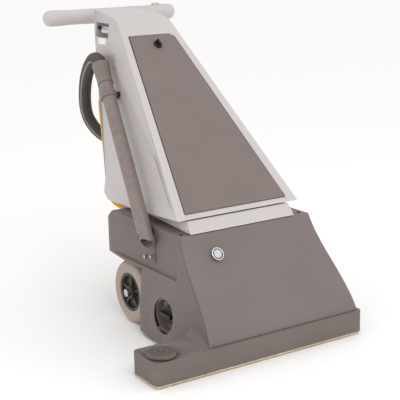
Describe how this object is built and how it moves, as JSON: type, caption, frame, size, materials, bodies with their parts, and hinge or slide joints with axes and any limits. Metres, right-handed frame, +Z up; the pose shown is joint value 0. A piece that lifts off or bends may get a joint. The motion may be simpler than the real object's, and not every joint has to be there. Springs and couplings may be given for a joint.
{
  "type": "carpet cleaner machine",
  "caption": "Wide-area upright carpet vacuum with a wide bumpered nozzle, sloped body with bag door, T-bar handle, side wand on a hose and wound power cord.",
  "frame": {"origin": "on the floor under the middle of the machine, without its hose and cord", "axes": "+Z up; -Y towards the nozzle, the front; +X to the right of someone looking from the front towards the back"},
  "size_m": [0.78, 1.062, 1.027],
  "materials": {
    "dark_steel": "satin",
    "base_plastic": "grained moulding",
    "cover_plastic": "grained moulding",
    "badge_metal": "brushed",
    "bumper_rubber": "matt",
    "sole_metal": "worn",
    "bright_steel": "satin",
    "bristle_nylon": "matt",
    "black_rubber": "matt",
    "motor_metal": "cast",
    "pale_plastic": "fine grained moulding",
    "bumper_roller": "satin",
    "filter_paper": "pleated",
    "grey_tyre": "matt",
    "hub_plastic": "satin",
    "black_plastic": "satin",
    "door_plastic": "grained moulding",
    "bag_cloth": "woven",
    "switch_red": "gloss",
    "thumb_plastic": "satin",
    "label_white": "plain",
    "wand_plastic": "satin",
    "hose_plastic": "ribbed",
    "yellow_cord": "satin"
  },
  "bodies": {
    "root": {"chassis_frame": "dark_steel", "base_housing": "base_plastic", "front_cover": "cover_plastic", "cover_badge": "badge_metal", "cover_screws": "dark_steel", "nozzle_housing": "base_plastic", "bumper_band": "bumper_rubber", "sole_plate": "sole_metal", "brush_bearings": "bright_steel", "drive_belt": "black_rubber", "brush_motor": "motor_metal", "roller_brackets": "bright_steel", "roller_bolt": "dark_steel", "vacuum_motor": "motor_metal", "motor_gasket": "black_rubber", "exhaust_filter": "filter_paper", "wheel_axle": "bright_steel", "axle_nuts": "bright_steel", "dial_cup": "base_plastic", "upper_housing": "pale_plastic", "housing_neck": "pale_plastic", "door_gasket": "black_rubber", "door_hinge_pins": "bright_steel", "bag_collar": "black_plastic", "filter_bag": "bag_cloth", "handle_bar": "pale_plastic", "control_panel": "black_plastic", "pull_sleeve": "bright_steel", "blank_label": "label_white", "lower_cord_hook": "black_plastic", "wand_clip": "black_plastic", "wand_bracket": "black_plastic", "hose_port": "black_plastic", "vacuum_hose": "hose_plastic", "cord_relief": "black_rubber", "power_cord": "yellow_cord", "cord_hank": "yellow_cord", "power_plug": "black_plastic"},
    "left_wheel": {"left_tyre": "grey_tyre", "left_hub": "hub_plastic"},
    "right_wheel": {"right_tyre": "grey_tyre", "right_hub": "hub_plastic"},
    "brush": {"brush_core": "dark_steel", "brush_bristles": "bristle_nylon", "brush_pulley": "dark_steel"},
    "motor_shaft": {"motor_pulley": "dark_steel"},
    "left_support": {"left_support_roller": "pale_plastic"},
    "right_support": {"right_support_roller": "pale_plastic"},
    "bumper_wheel": {"corner_roller": "bumper_roller"},
    "dial": {"height_dial": "black_plastic"},
    "door": {"front_door": "door_plastic"},
    "latch": {"door_latch": "black_plastic"},
    "brush_rocker": {"brush_switch": "switch_red"},
    "vacuum_rocker": {"vacuum_switch": "black_plastic"},
    "breaker": {"breaker_button": "switch_red"},
    "thumb_rocker": {"thumb_switch": "thumb_plastic"},
    "pull": {"pull_knob": "black_plastic"},
    "swivel_hook": {"upper_cord_hook": "black_plastic"},
    "wand": {"wand_tube": "wand_plastic", "wand_cuff": "wand_plastic"}
  },
  "joints": [
    {"name": "left_wheel_spin", "type": "hinge", "parent": "root", "child": "left_wheel", "pos_m": [-0.151, 0.007, 0.108], "axis": [1, 0, 0], "continuous": true},
    {"name": "right_wheel_spin", "type": "hinge", "parent": "root", "child": "right_wheel", "pos_m": [0.335, 0.007, 0.108], "axis": [1, 0, 0], "continuous": true},
    {"name": "brush_spin", "type": "hinge", "parent": "root", "child": "brush", "pos_m": [0, -0.461, 0.041], "axis": [1, 0, 0], "continuous": true},
    {"name": "motor_spin", "type": "hinge", "parent": "root", "child": "motor_shaft", "pos_m": [0.352, -0.296, 0.08], "axis": [1, 0, 0], "continuous": true},
    {"name": "left_support_spin", "type": "hinge", "parent": "root", "child": "left_support", "pos_m": [-0.06, -0.367, 0.022], "axis": [1, 0, 0], "continuous": true},
    {"name": "right_support_spin", "type": "hinge", "parent": "root", "child": "right_support", "pos_m": [0.25, -0.367, 0.022], "axis": [1, 0, 0], "continuous": true},
    {"name": "bumper_wheel_spin", "type": "hinge", "parent": "root", "child": "bumper_wheel", "pos_m": [-0.342, -0.483, 0.09], "axis": [0, 0, 1], "continuous": true},
    {"name": "dial_turn", "type": "hinge", "parent": "root", "child": "dial", "pos_m": [-0.17, -0.251, 0.103], "axis": [-1, 0, 0], "range_deg": [0, 270]},
    {"name": "door_swing", "type": "hinge", "parent": "root", "child": "door", "pos_m": [0.07, -0.27333, 0.43136], "axis": [1, 0, 0], "range_deg": [0, 95]},
    {"name": "latch_turn", "type": "hinge", "parent": "door", "child": "latch", "pos_m": [0.078, 0.18739, 0.90621], "axis": [0, -0.7092, 0.705], "range_deg": [-90, 0]},
    {"name": "brush_switch_rock", "type": "hinge", "parent": "root", "child": "brush_rocker", "pos_m": [0.025, 0.50079, 1.0089], "axis": [0, 0.9135, -0.4067], "range_deg": [-8, 8]},
    {"name": "vacuum_switch_rock", "type": "hinge", "parent": "root", "child": "vacuum_rocker", "pos_m": [0.075, 0.50079, 1.0089], "axis": [0, 0.9135, -0.4067], "range_deg": [-8, 8]},
    {"name": "breaker_press", "type": "slide", "parent": "root", "child": "breaker", "axis": [0, -0.4067, -0.9135], "range_m": [0, 0.0025], "stiffness_N_per_m": 150},
    {"name": "thumb_switch_rock", "type": "hinge", "parent": "root", "child": "thumb_rocker", "pos_m": [0.261, 0.502, 1.022], "axis": [0, 1, 0], "range_deg": [-6, 6]},
    {"name": "knob_pull", "type": "slide", "parent": "root", "child": "pull", "axis": [0, 1, 0], "range_m": [0, 0.02]},
    {"name": "hook_swivel", "type": "hinge", "parent": "root", "child": "swivel_hook", "pos_m": [0.02, 0.37672, 0.69], "axis": [0, 0.9436, -0.3311], "range_deg": [0, 180]},
    {"name": "wand_lift", "type": "slide", "parent": "root", "child": "wand", "axis": [0.1633, 0.6809, 0.7139], "range_m": [0, 0.06], "deforming": ["vacuum_hose"]}
  ],
  "couplings": [
    {"joint": "motor_spin", "follows": "brush_spin", "ratio": 1}
  ]
}
